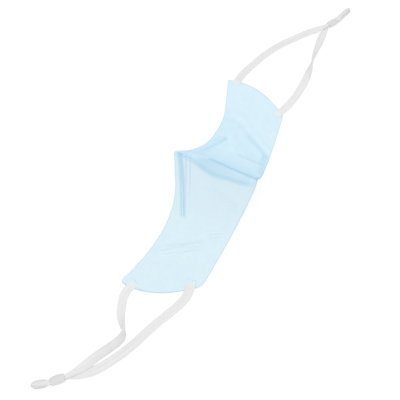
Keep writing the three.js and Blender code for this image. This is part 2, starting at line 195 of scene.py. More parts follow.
# Routes of the elastic from its weld to its bead: x, y, gap under the band, turn from flat in degrees
LEFT_LOWER_ROUTE = [
    (-75.6, -45.2, WELD_LIFT, 0), (-82.0, -46.8, WELD_LIFT, 0), (-88.2, -46.8, WELD_LIFT, 0),
    (-93.6, -45.4, 0.4, 0), (-99.5, -42.8, 0, 0), (-108.6, -38.4, 0, 0), (-118.9, -33.9, 0, 0),
    (-128.7, -30.1, 0, 0), (-137.9, -25.7, 0, 0), (-146.7, -20.5, 0, 0), (-153.9, -15.2, 0, 0),
    (-160.2, -8.6, 0.4, 0),
]
LEFT_UPPER_ROUTE = [
    (-90.6, -12.6, WELD_LIFT, -180), (-95.4, -10.9, WELD_LIFT, -180), (-100.2, -9.8, WELD_LIFT, -178),
    (-104.9, -10.2, 0.3, -172), (-109.5, -11.6, 0, -167), (-114.3, -13.4, 0, -158),
    (-118.4, -15.8, 0, -140), (-121.5, -18.1, 0, -118), (-124.3, -20.4, 0, -92),
    (-127.6, -21.6, 0, -66), (-131.5, -20.9, 0, -48), (-139.9, -16.5, 0.2, -38),
    (-145.1, -13.4, 0.4, -33), (-151.9, -9.9, 0.7, -25), (-157.7, -6.6, 1.1, -13),
]
RIGHT_UPPER_ROUTE = [
    (91.2, -10.1, WELD_LIFT, 0), (96.4, -10.6, WELD_LIFT, 0), (101.6, -11.3, WELD_LIFT, 0),
    (108.0, -12.6, 0.3, 0), (116.1, -15.1, 0, 0), (128.0, -19.3, 0, 0), (141.4, -25.8, 0, 0),
    (149.2, -30.7, 0, 0), (155.3, -35.2, 0, 0), (161.8, -40.2, 0.2, 0), (167.6, -45.3, 0.8, 0),
    (173.2, -51.2, 1.6, 0),
]
RIGHT_LOWER_ROUTE = [
    (74.4, -48.6, WELD_LIFT, -180), (80.2, -51.8, WELD_LIFT, -180), (86.2, -54.2, WELD_LIFT, -180),
    (91.8, -55.6, 0.4, -180), (98.7, -56.9, 0, -180), (108.5, -58.1, 0, -175), (117.6, -58.8, 0, -155),
    (126.3, -58.9, 0, -128), (135.5, -58.2, 0, -90), (142.0, -57.4, 0, -62), (149.0, -56.9, 0, -42),
    (156.5, -56.6, 0, -20), (164.5, -56.0, 0, -6), (171.6, -56.3, 0.4, 0),
]

# Beads: middle, heading and turn of the bore and of the tip loop, side of the first layer,
# length and drop of the tip loop, shares of it where it is widest and where it rounds off,
# length over which the strands open out, and share by which the band swells where it is twisted
LEFT_BEAD = dict(
    x=-168.3, y=2.2, heading=133, turn=0, tip_heading=121, tip_turn=0, side=-1,
    tip=10.4, drop=0.9, widest=0.4, rounds=0.62, blend=17, swell=0.9,
)
RIGHT_BEAD = dict(
    x=184.0, y=-59.6, heading=-31.0, turn=0, tip_heading=-17.7, tip_turn=-28, side=1,
    tip=17.2, drop=0.4, widest=0.07, rounds=0.8, blend=14, swell=0.15,
)
BEAD_PROFILE = [
    (1.22, -4.1), (1.25, -4.4), (1.4, -4.58), (1.62, -4.56), (1.86, -4.32), (2.06, -3.8),
    (2.2, -2.9), (2.29, -1.6), (2.3, 0.0), (2.27, 1.4), (2.18, 2.6), (2.03, 3.5),
    (1.84, 4.15), (1.62, 4.52), (1.4, 4.6), (1.25, 4.4), (1.22, 4.1),
]

# Rows of weld points: y at the fold and fall of each row below the wire, then pitch and radius of the points
NOSE_DOT_ROWS = ((-9.2, 0.407), (-12.2, 0.404))
NOSE_DOT_PITCH = 1.4
NOSE_DOT_RADIUS = 0.55
HEM_DOT_PITCH = 1.6
HEM_DOT_RADIUS = 0.45

# Knit of the elastic
RIB_PITCH = 0.86
COURSE_PITCH = 0.75

# Colours of the cloth
# One cloth on both halves: painted sheen pales the left half, painted shade gives the right half a more
# saturated blue
CLOTH_LEFT_PAINTED_SHEEN = (0.67, 0.815, 0.87, 1)
CLOTH_LEFT_FIBRES_PAINTED_SHEEN = (0.71, 0.845, 0.895, 1)
CLOTH_RIGHT_PAINTED_SHADE = (0.66, 0.84, 0.93, 1)
CLOTH_RIGHT_FIBRES_PAINTED_SHADE = (0.70, 0.87, 0.955, 1)
# Painted shade greying the left half beside the fold
CLOTH_PAINTED_FOLD_SHADE = (0.66, 0.785, 0.85, 1)
# Painted clearer blue of the lit rolls and of the shaded hollow below the fold
CLOTH_PAINTED_CLEAR = (0.615, 0.825, 0.965, 1)
CLOTH_CLOUD = (0.63, 0.79, 0.89, 1)
CLOTH_BOND = (0.54, 0.72, 0.85, 1)
CLOTH_WELD = (0.50, 0.66, 0.81, 1)
# Painted highlight, also the paler hem weld line
CLOTH_HIGHLIGHT_AND_WELD_PALE = (0.80, 0.90, 0.95, 1)
# Painted shade in folds, creases, the hollow and along edges, also the wire showing through
CLOTH_PAINTED_SHADE_AND_WIRE = (0.33, 0.60, 0.76, 1)

# Colours of the elastic
# The knit's valleys are greyer with painted shade
YARN_VALLEY_SHADE = (0.76, 0.76, 0.76, 1)
YARN_LIGHT = (0.84, 0.84, 0.838, 1)
YARN_FUZZ = (0.79, 0.79, 0.795, 1)
YARN_STREAK = (0.70, 0.70, 0.70, 1)
PRESSED_DARK = (0.74, 0.79, 0.82, 1)
PRESSED_LIGHT = (0.79, 0.82, 0.84, 1)
# Painted shade on the tip loop and where the band stands on edge, darker towards its edges
BAND_PAINTED_SHADE_MIDDLE = (0.75, 0.75, 0.75, 1)
BAND_PAINTED_SHADE_EDGE = (0.67, 0.67, 0.67, 1)
MELTED = (0.69, 0.82, 0.89, 1)

# Camera at the photograph's angle
CAMERA_PLACE = Vector((-274.0, -134.7, 431.1))
CAMERA_TARGET = Vector((-16.0, -26.1, 0.0))
CAMERA_LENS = 66.6


def mix(first, second, share):
    return first + (second - first) * share


def ease(value, start, end):
    share = min(1.0, max(0.0, (value - start) / (end - start)))
    return share * share * (3 - 2 * share)


def bell(value, middle, width):
    return math.exp(-(((value - middle) / width) ** 2))


def in_row_frame(place):
    return place * MM + NOSE_POINT


def smooth_reading(rows, column):
    """A smooth value read off a table by its first column."""
    places = [row[0] for row in rows]
    values = [row[column] for row in rows]
    slopes = [(values[k + 1] - values[k]) / (places[k + 1] - places[k]) for k in range(len(rows) - 1)]
    tangents = [slopes[0]] + [(a + b) / 2 for a, b in zip(slopes, slopes[1:])] + [slopes[-1]]

    def read(place):
        place = min(max(place, places[0]), places[-1])
        k = max(index for index in range(len(places) - 1) if places[index] <= place)
        run = places[k + 1] - places[k]
        t = (place - places[k]) / run
        rise = values[k] * (1 + 2 * t) * (1 - t) ** 2 + values[k + 1] * t * t * (3 - 2 * t)
        return rise + run * (tangents[k] * t * (1 - t) ** 2 - tangents[k + 1] * t * t * (1 - t))

    return read


nose_edge_left = smooth_reading(EDGE_ROWS, 1)
nose_edge_right = smooth_reading(EDGE_ROWS, 2)
lower_edge_left = smooth_reading(EDGE_ROWS, 3)
lower_edge_right = smooth_reading(EDGE_ROWS, 4)
left_slope = smooth_reading(LEFT_SLOPE_ROWS, 1)
right_slope = smooth_reading(RIGHT_SLOPE_ROWS, 1)
fold_height = smooth_reading(FOLD_LINE_ROWS, 1)
fold_lean = smooth_reading(FOLD_LINE_ROWS, 2)
hollow_reach = smooth_reading(HOLLOW_ROWS, 1)
wire_bow_left = smooth_reading(WIRE_BOW_ROWS, 1)
wire_bow_right = smooth_reading(WIRE_BOW_ROWS, 2)


def nose_edge(share):
    return nose_edge_left(-share) if share < 0 else nose_edge_right(share)


def lower_edge(share):
    return lower_edge_left(-share) if share < 0 else lower_edge_right(share)


def plan(share, depth):
    """Place of a cloth point seen from above."""
    side = math.copysign(1, share)
    reach = abs(share)
    most = LEFT_END_BULGE if share < 0 else RIGHT_END_BULGE
    bulge = most * 4 * depth * (1 - depth) * (1 + END_SKEW * (1 - 2 * depth)) * reach ** 4
    away = reach * mix(TOP_SPAN, BOTTOM_SPAN, depth)
    x = side * (away + bulge) + fold_lean(depth) * bell(away, 0, FOLD_LEAN_WIDTH)
    y = mix(nose_edge(share), lower_edge(share), depth) - bulge * END_TILT
    return x, y


def wire_side(share):
    return LEFT_WIRE if share < 0 else RIGHT_WIRE


def wire_drop(share):
    """Distance of the wire's middle below the nose edge, held level beyond the wire's end."""
    wire = wire_side(share)
    reach = min(abs(share) * TOP_SPAN, wire["reach"])
    held = math.copysign(reach / TOP_SPAN, share)
    bow = wire_bow_left(reach) if share < 0 else wire_bow_right(reach)
    return nose_edge(held) + WIRE_DROP + wire["slope"] * reach + bow


def beside_wire(share, depth):
    """Distance from the wire's middle line, below it positive, and how far past the wire's end."""
    wire = wire_side(share)
    below = depth * (nose_edge(share) - lower_edge(share)) - wire_drop(share)
    return below / math.hypot(1, wire["slope"]), abs(share) * TOP_SPAN - wire["reach"]


def channel(share, depth):
    """Rise of the cloth over the wire: a welt over two cores on the left, a softer roll on the right."""
    aside, past = beside_wire(share, depth)
    roll = ease(share * TOP_SPAN, 0, 12)
    across = 1 - ease(abs(aside), mix(1.15, 0.8, roll), mix(1.95, 3.1, roll))
    cores = 0.16 * bell(abs(aside), CORE_ASIDE, 0.4) * (1 - roll)
    pinch = -0.18 * bell(aside, mix(2.2, 3.2, roll), 0.45)
    end = 1 - ease(past, -0.6, mix(1.0, 1.6, roll))
    return (CHANNEL_RISE * mix(1, 1.3, roll) * across + cores + pinch) * end


def creases(x, y):
    """Rise of the folds and creases, and the painted shade on them as deeper blue, painted highlight below
    nought.
    """
    rise, deeper = 0.0, 0.0
    for from_x, from_y, to_x, to_y, half, height, sharpness, tint in CREASE_ROWS:
        run_x, run_y = to_x - from_x, to_y - from_y
        length = math.hypot(run_x, run_y)
        aside = abs((x - from_x) * run_y - (y - from_y) * run_x) / length
        if aside < half:
            share = ((x - from_x) * run_x + (y - from_y) * run_y) / length ** 2
            ends = ease(share, 0, 0.25) * (1 - ease(share, 0.85, 1.1))
            across = ends * (1 - (aside / half) ** sharpness) ** 2
            rise += height * across
            deeper += tint * across
    return rise, deeper


def from_fold(share, depth):
    """Distance from the fold along the plan, rounded off where the fold is a soft roll."""
    away = abs(share) * mix(TOP_SPAN, BOTTOM_SPAN, depth)
    rounding = mix(mix(0.5, 2.0, ease(depth, 0.0, 0.12)), 0.25, ease(depth, 0.24, 0.48))
    return math.hypot(away, rounding) - rounding


def inner_face(share, depth):
    """Height of the cloth's inner face without the wire's channel."""
    away = from_fold(share, depth)
    reach = away / mix(TOP_SPAN, BOTTOM_SPAN, depth)
    crest = fold_height(depth)
    if share < 0:
        height = left_slope(reach) + (crest - LEFT_CREST) * max(0.0, 1 - away / hollow_reach(depth)) ** 1.15
        height -= 0.5 * bell(away, 0.7, 0.45) * ease(depth, 0.36, 0.52)
    else:
        height = right_slope(reach) + (crest - RIGHT_CREST) * max(0.0, 1 - away / RIGHT_FOLD_REACH) ** 1.6
    x, y = plan(share, depth)
    ripple = 0.22 * noise.noise(Vector((x / 9, y / 9, 3.1)))
    ripple += 0.1 * noise.noise(Vector((x / 3.5, y / 3.5, 7.7)))
    return max(0.0, height + creases(x, y)[0] + ripple * ease(height, 0.2, 4))


def cloth_middle(share, depth):
    """Middle of the cloth's thickness, in millimetres."""
    rise = inner_face(share + SLOPE_STEP, depth) - inner_face(share - SLOPE_STEP, depth)
    steep = math.hypot(1, rise / (2 * SLOPE_STEP * mix(TOP_SPAN, BOTTOM_SPAN, depth)))
    height = inner_face(share, depth)
    offset = mix(FLOOR_OFFSET, TENT_OFFSET, ease(height, 0, 4)) * min(steep, 1.8)
    x, y = plan(share, depth)
    hem = depth * (nose_edge(share) - lower_edge(share))
    lower_hem = (1 - depth) * (nose_edge(share) - lower_edge(share))
    groove = -0.12 * bell(lower_hem, HEM_WELD_INSET, 0.6) * ease(height, 0, 2)
    groove -= 0.1 * bell(hem, HEM_WELD_INSET, 0.6) * ease(abs(share), 0.45, 0.55) * ease(height, 0, 2)
    return Vector((x, y, height + channel(share, depth) + offset + groove))


def row_depth(share, row):
    """Depth of a grid row: the rows crowd where the channel is."""
    height = nose_edge(share) - lower_edge(share)
    drop = wire_drop(share)
    start = max(drop - CROWDED_ABOVE_WIRE, LEAST_TOP_STRIP) / height
    end = (drop + CROWDED_BELOW_WIRE) / height
    foot = ROWS_ABOVE_CHANNEL + ROWS_IN_CHANNEL
    if row < ROWS_ABOVE_CHANNEL:
        return start * row / ROWS_ABOVE_CHANNEL
    if row < foot:
        return mix(start, end, (row - ROWS_ABOVE_CHANNEL) / ROWS_IN_CHANNEL)
    return mix(end, 1.0, (row - foot) / (1 - foot))


def light_and_tone(share, depth):
    """How much deeper the cloth's blue is from painted shade and the wire showing through, or paler below
    nought from painted highlight and the hem weld line.
    """
    aside, past = beside_wire(share, depth)
    on_wire = 1 - ease(past, -0.4, 0.6)
    height = nose_edge(share) - lower_edge(share)
    away = from_fold(share, depth)
    lower_hem, end = (1 - depth) * height, (1 - abs(share)) * TOP_SPAN
    # Painted shade and highlight on the folds and creases
    value = creases(*plan(share, depth))[1]
    if share < 0:
        # Over the wire: painted shade along the channel's flanks together with the wire showing through the
        # cloth, and a faint painted highlight just beyond
        near_fold = 1 - ease(-share * TOP_SPAN, 10, 26)
        filling = mix(0.22, 0.55, near_fold) * (1 - ease(abs(aside), 0.9, 1.4))
        core = 0.76 if aside > 0.05 else 0.6
        lines = max(filling, core * bell(abs(aside - 0.05), CORE_ASIDE, 0.42))
        value += (lines - 0.05 * bell(abs(aside), 2.5, 0.6)) * on_wire
        # Painted shade in the hollow below the fold, a painted shadow line along its rim and just below the
        # ridge, and painted shade beside the fold near the nose
        reach = hollow_reach(depth)
        open_part = ease(depth, 0.2, 0.34)
        left_part = 1 - ease(depth, 0.45, 0.75)
        inside = mix(0.14, 0.22, left_part) + 0.12 * left_part * bell(away, 0.6, 1.2)
        inside *= (1 - ease(away, reach - 0.8, reach + 0.6)) * open_part
        rim_width = mix(0.45, mix(1.0, 1.3, left_part), ease(depth, 0.14, 0.34))
        rim = mix(0.42, 0.46, left_part) * bell(away, reach - 0.9, rim_width) * mix(0.6, 1.0, open_part)
        rim *= ease(depth, 0.06, 0.13) * (1 - ease(depth, 0.88, 1.0))
        ridge = 0.65 * bell(away, 0.2, 0.45) * ease(depth, 0.34, 0.46)
        value += max(inside, rim, ridge) + 0.2 * bell(away, 0, 1.0) * (1 - ease(depth, 0.14, 0.26))
    else:
        # Right half: painted shade below the wire's roll and a painted shadow at its end, painted shade and
        # highlight either side of the diagonal fold, and painted shade beside the centre fold
        along = share * TOP_SPAN
        roll = 0.05 * bell(aside, 0.4, 1.4) + 0.22 * bell(aside, 2.0, 0.9)
        value += roll * on_wire * ease(along, 8, 20) + 0.12 * bell(past, 0.0, 1.2) * bell(aside, 1.6, 0.9)
        x, y = plan(share, depth)
        beyond_fold = 0.82 * (x - 60) - 0.57 * (y + 19)
        value += 0.1 * (1 - ease(beyond_fold, -5, 3)) - 0.06 * ease(beyond_fold, 0, 8)
        value += 0.14 * bell(away, 0, 6) * ease(depth, 0.3, 0.45)
    # Painted shade along the cut edges; the paler line below is the hem weld line
    value += 0.3 * (1 - ease(min(depth * height, lower_hem, end), 0.15, 0.8))
    return value - 0.18 * bell(lower_hem, HEM_WELD_INSET, 0.7)


def painted_clear_blue(share, depth):
    """How much clearer the blue is, as painted light and shade: over the fold's lit roll, in the shaded
    hollow below it, and on the right half's lit roll and beside its fold.
    """
    away = from_fold(share, depth)
    at_nose = 1 - ease(depth, 0.24, 0.4)
    if share < 0:
        reach = hollow_reach(depth)
        hollow = 0.6 * ease(depth, 0.2, 0.34) * (1 - ease(away, reach - 0.6, reach + 0.8))
        return max(hollow, bell(away, 0, 1.0) * at_nose)
    aside, past = beside_wire(share, depth)
    roll = bell(aside, -0.3, 1.5) * (1 - ease(past, -2.0, 1.0))
    return max(1 - ease(away, 8, 24), roll, bell(away, 0, 2.2) * at_nose)


def rounded_corner(share, depth):
    """Share and depth drawn in where they lie within a corner of the panel."""
    height = nose_edge(share) - lower_edge(share)
    span = mix(TOP_SPAN, BOTTOM_SPAN, depth)
    rounding = LEFT_CORNER_ROUNDING if share < 0 else RIGHT_CORNER_ROUNDING
    aside = 1 - (1 - abs(share)) * span / rounding
    above = 1 - min(depth, 1 - depth) * height / rounding
    if aside <= 0 or above <= 0:
        return share, depth
    shrink = max(aside, above) / math.hypot(aside, above)
    reach = 1 - (1 - aside * shrink) * rounding / span
    inset = (1 - above * shrink) * rounding / height
    return math.copysign(reach, share), inset if depth < 0.5 else 1 - inset


def finished(bm, name, material):
    """Turns a bmesh into a smooth-shaded object with its material and slot."""
    for face in bm.faces:
        face.smooth = True
    mesh = bpy.data.meshes.new(name)
    bm.to_mesh(mesh)
    bm.free()
    piece = bpy.data.objects.new(name, mesh)
    bpy.context.scene.collection.objects.link(piece)
    mesh.materials.append(material)
    return piece


def grid_places(bm, columns, rows):
    """A grid's vertices with their shares along and across, both from 0 to 1."""
    bmesh.ops.create_grid(bm, x_segments=columns, y_segments=rows, size=1.0)
    return [(vert, (vert.co.x + 1) / 2, (vert.co.y + 1) / 2) for vert in bm.verts]


def make_panel(material):
    bm = bmesh.new()
    cloth_place = bm.verts.layers.float_vector.new("cloth_place")
    seam_place = bm.verts.layers.float_vector.new("seam_place")
    painted_light_and_tone = bm.verts.layers.float.new("painted_light_and_tone")
    painted_clearness = bm.verts.layers.float.new("painted_clear_blue")
    for vert, along, across in grid_places(bm, CLOTH_COLUMNS, CLOTH_ROWS):
        even = 2 * along - 1
        share = math.copysign(abs(even) ** COLUMN_CROWDING, even)
        share, depth = rounded_corner(share, row_depth(share, 1 - across))
        middle = cloth_middle(share, depth)
        height = nose_edge(share) - lower_edge(share)
        vert[cloth_place] = Vector((share * CLOTH_HALF_LENGTH, middle.y, 0))
        vert[seam_place] = Vector((middle.x, middle.y, (1 - depth) * height))
        vert[painted_light_and_tone] = light_and_tone(share, depth)
        vert[painted_clearness] = painted_clear_blue(share, depth)
        vert.co = in_row_frame(middle)
    bmesh.ops.recalc_face_normals(bm, faces=bm.faces)
    if sum(face.normal.z for face in bm.faces) < 0:
        bmesh.ops.reverse_faces(bm, faces=bm.faces)
    piece = finished(bm, "cloth_panel", material)
    wall = piece.modifiers.new("cloth thickness", "SOLIDIFY")
    wall.thickness = CLOTH_THICKNESS * MM
    wall.offset = 0
    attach(piece, "root")
    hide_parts("panel")


def wrapped_band(rings, sides, place_on_ring, place_name, mask_name):
    """A closed band: a grid wrapped round its path, with its ends filled."""
    bm = bmesh.new()
    band_place = bm.verts.layers.float_vector.new(place_name)
    mask = bm.verts.layers.float.new(mask_name)
    for vert, along, around in grid_places(bm, len(rings) - 1, sides):
        ring = rings[round(along * (len(rings) - 1))]
        turn = 2 * math.pi * round(around * sides) / sides
        place, flat, amount = place_on_ring(ring, turn)
        vert.co = in_row_frame(place)
        vert[band_place] = flat
        vert[mask] = amount
    bmesh.ops.remove_doubles(bm, verts=bm.verts, dist=1e-7)
    rims = [edge for edge in bm.edges if edge.is_boundary]
    bmesh.ops.holes_fill(bm, edges=rims, sides=0)
    bmesh.ops.recalc_face_normals(bm, faces=bm.faces)
    return bm


def flat_oval(turn, power):
    """A point on a flat band's rounded outline, from -1 to 1 each way."""
    a, b = math.cos(turn), math.sin(turn)
    return math.copysign(abs(a) ** power, a), math.copysign(abs(b) ** power, b)


def make_nose_wire(material):
    """Coated strip with two cores, just under the cloth along the channel."""
    rings = []
    left_end, right_end = WIRE_END_GAP - LEFT_WIRE["reach"], RIGHT_WIRE["reach"] - WIRE_END_GAP
    for step in range(WIRE_STEPS + 1):
        share = mix(left_end, right_end, step / WIRE_STEPS) / TOP_SPAN
        height = nose_edge(share) - lower_edge(share)
        depth = wire_drop(share) / height
        ahead = cloth_middle(share + SLOPE_STEP, wire_drop(share + SLOPE_STEP) / height)
        behind = cloth_middle(share - SLOPE_STEP, wire_drop(share - SLOPE_STEP) / height)
        here = cloth_middle(share, depth)
        here.z = inner_face(share, depth) + WIRE_THICKNESS / 2 + WIRE_LIFT
        along = (ahead - behind).normalized()
        across = UP.cross(along).normalized()
        rings.append((here, across, along.cross(across), share * TOP_SPAN))

    def on_ring(ring, turn):
        place, across, normal, along = ring
        a, b = flat_oval(turn, 0.5)
        cores = 0.8 + 0.2 * bell(abs(a), 0.6, 0.3)
        point = place + across * (a * WIRE_WIDTH / 2) + normal * (b * cores * WIRE_THICKNESS / 2)
        return point, Vector((along, a * WIRE_WIDTH / 2, b)), 1 - cores

    bm = wrapped_band(rings, WIRE_SIDES, on_ring, "wire_place", "between_cores")
    piece = finished(bm, "nose_wire_strip", material)
    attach(piece, "root")
    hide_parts("nose_wire")


def bore_directions(heading, turn):
    """Directions at a bore: outward, across its wide side, and from one layer of the band to the other."""
    axis = Vector((math.cos(math.radians(heading)), math.sin(math.radians(heading)), 0))
    wide = UP.cross(axis) * math.cos(math.radians(turn)) + UP * math.sin(math.radians(turn))
    return axis, wide, axis.cross(wide)


def bead_middle(bead):
    turn = math.radians(bead["turn"])
    height = math.hypot(BEAD_WIDTH * math.sin(turn), BEAD_HEIGHT * math.cos(turn))
    return Vector((bead["x"], bead["y"], height / 2))


def opened(place, bead):
    """Share of the band's full width: gathered up inside the bead, flat away from it."""
    return ease((place - bead_middle(bead)).length, NECK_END, NECK_END + bead["blend"])


def tip_width(share, bead):
    """Width of the band round the tip loop, by the share of its length: it widens, then rounds off."""
    width = mix(NECK_WIDTH, TIP_WIDTH, ease(share, 0, bead["widest"]))
    past = min(1.0, max(0.0, (share - bead["rounds"]) / (1 - bead["rounds"])))
    return max(NECK_WIDTH * 0.7, width * math.sqrt(1 - past ** 3))


def tip_rows(bead):
    """Rows inside the bead and round the tip loop: place, turn, outward direction, share of the tip."""
    middle = bead_middle(bead)
    axis, _, layers = bore_directions(bead["heading"], bead["turn"])
    loop_axis, _, loop_layers = bore_directions(bead["tip_heading"], bead["tip_turn"])
    end, bend, tip, side = BEAD_LENGTH / 2, TIP_PITCH / 2, bead["tip"], bead["side"]
    slant = math.sqrt(0.5)
    mouth = middle + axis * end

    def inside(out, layer):
        return middle + axis * out + layers * (layer * LAYER_PITCH / 2), bead["turn"], axis, 0.0

    def beyond(out, layer):
        drop = UP * (bead["drop"] * ease(out, 0, tip / 2))
        place = mouth + loop_axis * out + loop_layers * (layer * bend) - drop
        return place, bead["tip_turn"], loop_axis, out / tip

    way_out = [inside(share * end, side) for share in (-1, -1 / 3, 1 / 3, 1)]
    way_back = [inside(share * end, -side) for share in (1, 1 / 3, -1 / 3, -1)]
    straight = [beyond(place, side) for place in (0.3 * tip, 0.6 * tip, tip - bend)]
    quarters = ((slant, slant), (1, 0), (slant, -slant))
    turned = [beyond(tip - bend + bend * out, side * layer) for out, layer in quarters]
    returned = [beyond(place, -side) for place in (tip - bend, 0.6 * tip, 0.3 * tip)]
    return way_out + straight + turned + returned + way_back


def strand_rows(route, bead):
    """Rows of one strand: place of the band's middle, turn, outward direction, no share of the tip."""
    places = [Vector((x, y, 0)) for x, y, lift, turn in route]
    rows = []
    for k, (x, y, lift, turn) in enumerate(route):
        width = mix(NECK_WIDTH, BAND_WIDTH, opened(places[k], bead))
        angle = math.radians(turn)
        half = (width * abs(math.sin(angle)) + BAND_THICKNESS * abs(math.cos(angle))) / 2
        outward = (places[min(k + 1, len(route) - 1)] - places[max(k - 1, 0)]).normalized()
        rows.append((Vector((x, y, lift + half)), turn, outward, 0.0))
    return rows


def spline_point(points, at):
    """A point on a smooth curve through the points, at a row number with a fraction."""
    k = min(int(at), len(points) - 2)
    t = at - k
    p1, p2 = points[k], points[k + 1]
    p0 = points[k - 1] if k > 0 else p1 * 2 - p2
    p3 = points[k + 2] if k + 2 < len(points) else p2 * 2 - p1
    d0 = max((p1.xyz - p0.xyz).length, 1e-4) ** 0.5
    d1 = max((p2.xyz - p1.xyz).length, 1e-4) ** 0.5
    d2 = max((p3.xyz - p2.xyz).length, 1e-4) ** 0.5
    m1 = ((p1 - p0) / d0 - (p2 - p0) / (d0 + d1) + (p2 - p1) / d1) * d1
    m2 = ((p2 - p1) / d1 - (p3 - p1) / (d1 + d2) + (p3 - p2) / d2) * d1
    c2 = p1 * -3 + p2 * 3 - m1 * 2 - m2
    c3 = p1 * 2 - p2 * 2 + m1 + m2
    return p1 + m1 * t + c2 * (t * t) + c3 * (t * t * t)


def make_ear_loop(name, node, bead, first_route, second_route, material):
    """Flat elastic from its first weld, through the bead, round the tip and back to its second weld."""
    first = strand_rows(first_route, bead)
    second = list(reversed(strand_rows(second_route, bead)))
    tip = tip_rows(bead)
    rows = first + tip + second
    points = [Vector((*place, turn)) for place, turn, outward, reach in rows]
    steps = (len(rows) - 1) * BAND_STEPS_PER_ROW
    path = [spline_point(points, step / BAND_STEPS_PER_ROW) for step in range(steps + 1)]
    lengths = [0.0]
    for before, after in zip(path, path[1:]):
        lengths.append(lengths[-1] + (after.xyz - before.xyz).length)
    rings = []
    for step, point in enumerate(path):
        at = step / BAND_STEPS_PER_ROW
        k = min(int(at), len(rows) - 2)
        along = (path[min(step + 1, steps)].xyz - path[max(step - 1, 0)].xyz).normalized()
        outward = mix(rows[k][2], rows[k + 1][2], at - k).normalized()
        turn = math.radians(point.w)
        across = UP.cross(outward) * math.cos(turn) + UP * math.sin(turn)
        across = (across - along * along.dot(across)).normalized()
        from_end = min(lengths[step], lengths[-1] - lengths[step])
        weld = 1 - ease(from_end, WELD_LENGTH - 2.2, WELD_LENGTH + 0.6)
        melt = 1 - ease(from_end, 0.5, 3.6)
        # Painted shade where the band stands on edge, and round the tip loop, where the same share also
        # thickens and softens the band
        soft, shaded = BAND_SOFTNESS, TWIST_SHADE * ease(abs(math.sin(turn)), 0.35, 0.7)
        if len(first) <= at <= len(first) + len(tip) - 1:
            reach = mix(rows[k][3], rows[k + 1][3], at - k)
            shaded = min(1.0, 3 * reach)
            width, thickness = tip_width(reach, bead), mix(NECK_THICKNESS, TIP_THICKNESS, shaded)
            soft = mix(BAND_SOFTNESS, TIP_SOFTNESS, shaded)
        else:
            size = opened(point.xyz, bead)
            width, thickness = mix(NECK_WIDTH, BAND_WIDTH, size), mix(NECK_THICKNESS, BAND_THICKNESS, size)
            thickness *= 1 + bead["swell"] * ease(abs(math.sin(turn)), 0.7, 1)
        width, thickness = width + 0.3 * weld, thickness * mix(mix(1, 0.6, weld), 0.25, melt)
        normal = along.cross(across)
        rings.append((point.xyz, across, normal, lengths[step], width, thickness, soft, weld, melt, shaded))

    def on_ring(ring, turn):
        place, across, normal, along, width, thickness, soft, weld, melt, shaded = ring
        a, b = flat_oval(turn, soft)
        ribs = 1 - RIB_DEPTH * (1 - weld) * (0.5 - 0.5 * math.cos(2 * math.pi * a * RIBS_PER_HALF))
        point = place + across * (a * width / 2) + normal * (b * ribs * thickness / 2)
        point.z = max(point.z, FLOOR_GAP) - WELD_SINK * weld - MELT_SINK * melt
        # The mask: welds and melted ends above nought, painted shade below it
        return point, Vector((along, a * BAND_WIDTH / 2, b)), (weld + melt) / 2 - shaded

    bm = wrapped_band(rings, BAND_SIDES, on_ring, "band_place", "weld")
    piece = finished(bm, name, material)
    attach(piece, "root")
    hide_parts(node)


def make_bead(name, node, bead, material):
    """Barrel bead with an oval bore, turned about its length."""
    bm = bmesh.new()
    rings = []
    for step in range(BEAD_STEPS):
        turn = 2 * math.pi * step / BEAD_STEPS
        a, b = math.cos(turn), math.sin(turn)
        rings.append([bm.verts.new((radius * a, radius * b, along)) for radius, along in BEAD_PROFILE])
    for ring, beside in zip(rings, rings[1:] + rings[:1]):
        for k in range(len(ring)):
            bm.faces.new((ring[k - 1], beside[k - 1], beside[k], ring[k]))
    axis, wide, layers = bore_directions(bead["heading"], bead["turn"])
    turned = Matrix((wide * (BEAD_WIDTH / BEAD_HEIGHT), layers, axis)).transposed().to_4x4()
    placed = Matrix.Translation(in_row_frame(bead_middle(bead))) @ Matrix.Scale(MM, 4) @ turned
    bmesh.ops.transform(bm, matrix=placed, verts=bm.verts)
    bmesh.ops.recalc_face_normals(bm, faces=bm.faces)
    piece = finished(bm, name, material)
    rounding = piece.modifiers.new("rounding", "SUBSURF")
    rounding.levels = 1
    rounding.render_levels = 1
    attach(piece, "root")
    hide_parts(node)


def add_node(tree, kind, **settings):
    node = tree.nodes.new(kind)
    for name, value in settings.items():
        setattr(node, name, value)
    return node


def feed(tree, socket, value):
    """Sets a socket to a value, or links another socket to it."""
    if isinstance(value, bpy.types.NodeSocket):
        tree.links.new(value, socket)
    else:
        socket.default_value = value


def figure(tree, operation, *values):
    node = add_node(tree, "ShaderNodeMath", operation=operation)
    for socket, value in zip(node.inputs, values):
        feed(tree, socket, value)
    return node.outputs[0]


def eased(tree, value, start, end):
    """A value from 0 to 1 that eases between two limits."""
    node = add_node(tree, "ShaderNodeMapRange", interpolation_type="SMOOTHSTEP")
    feed(tree, node.inputs["Value"], value)
    feed(tree, node.inputs["From Min"], start)
    feed(tree, node.inputs["From Max"], end)
    return node.outputs["Result"]


def coloured(tree, mask, first, second):
    """A colour between two colours."""
    node = add_node(tree, "ShaderNodeMix", data_type="RGBA")
    feed(tree, node.inputs[0], mask)
    feed(tree, node.inputs[6], first)
    feed(tree, node.inputs[7], second)
    return node.outputs[2]


def stretched(tree, vector, turn, scale):
    """The place turned in its plane and scaled, for a pattern with a direction."""
    node = add_node(tree, "ShaderNodeMapping", vector_type="POINT")
    feed(tree, node.inputs["Vector"], vector)
    node.inputs["Rotation"].default_value = (0, 0, math.radians(turn))
    node.inputs["Scale"].default_value = scale
    return node.outputs["Vector"]


def grain(tree, vector, scale, detail):
    node = add_node(tree, "ShaderNodeTexNoise")
    feed(tree, node.inputs["Vector"], vector)
    node.inputs["Scale"].default_value = scale
    node.inputs["Detail"].default_value = detail
    return node.outputs["Fac"]


def attribute(tree, name):
    return add_node(tree, "ShaderNodeAttribute", attribute_name=name)


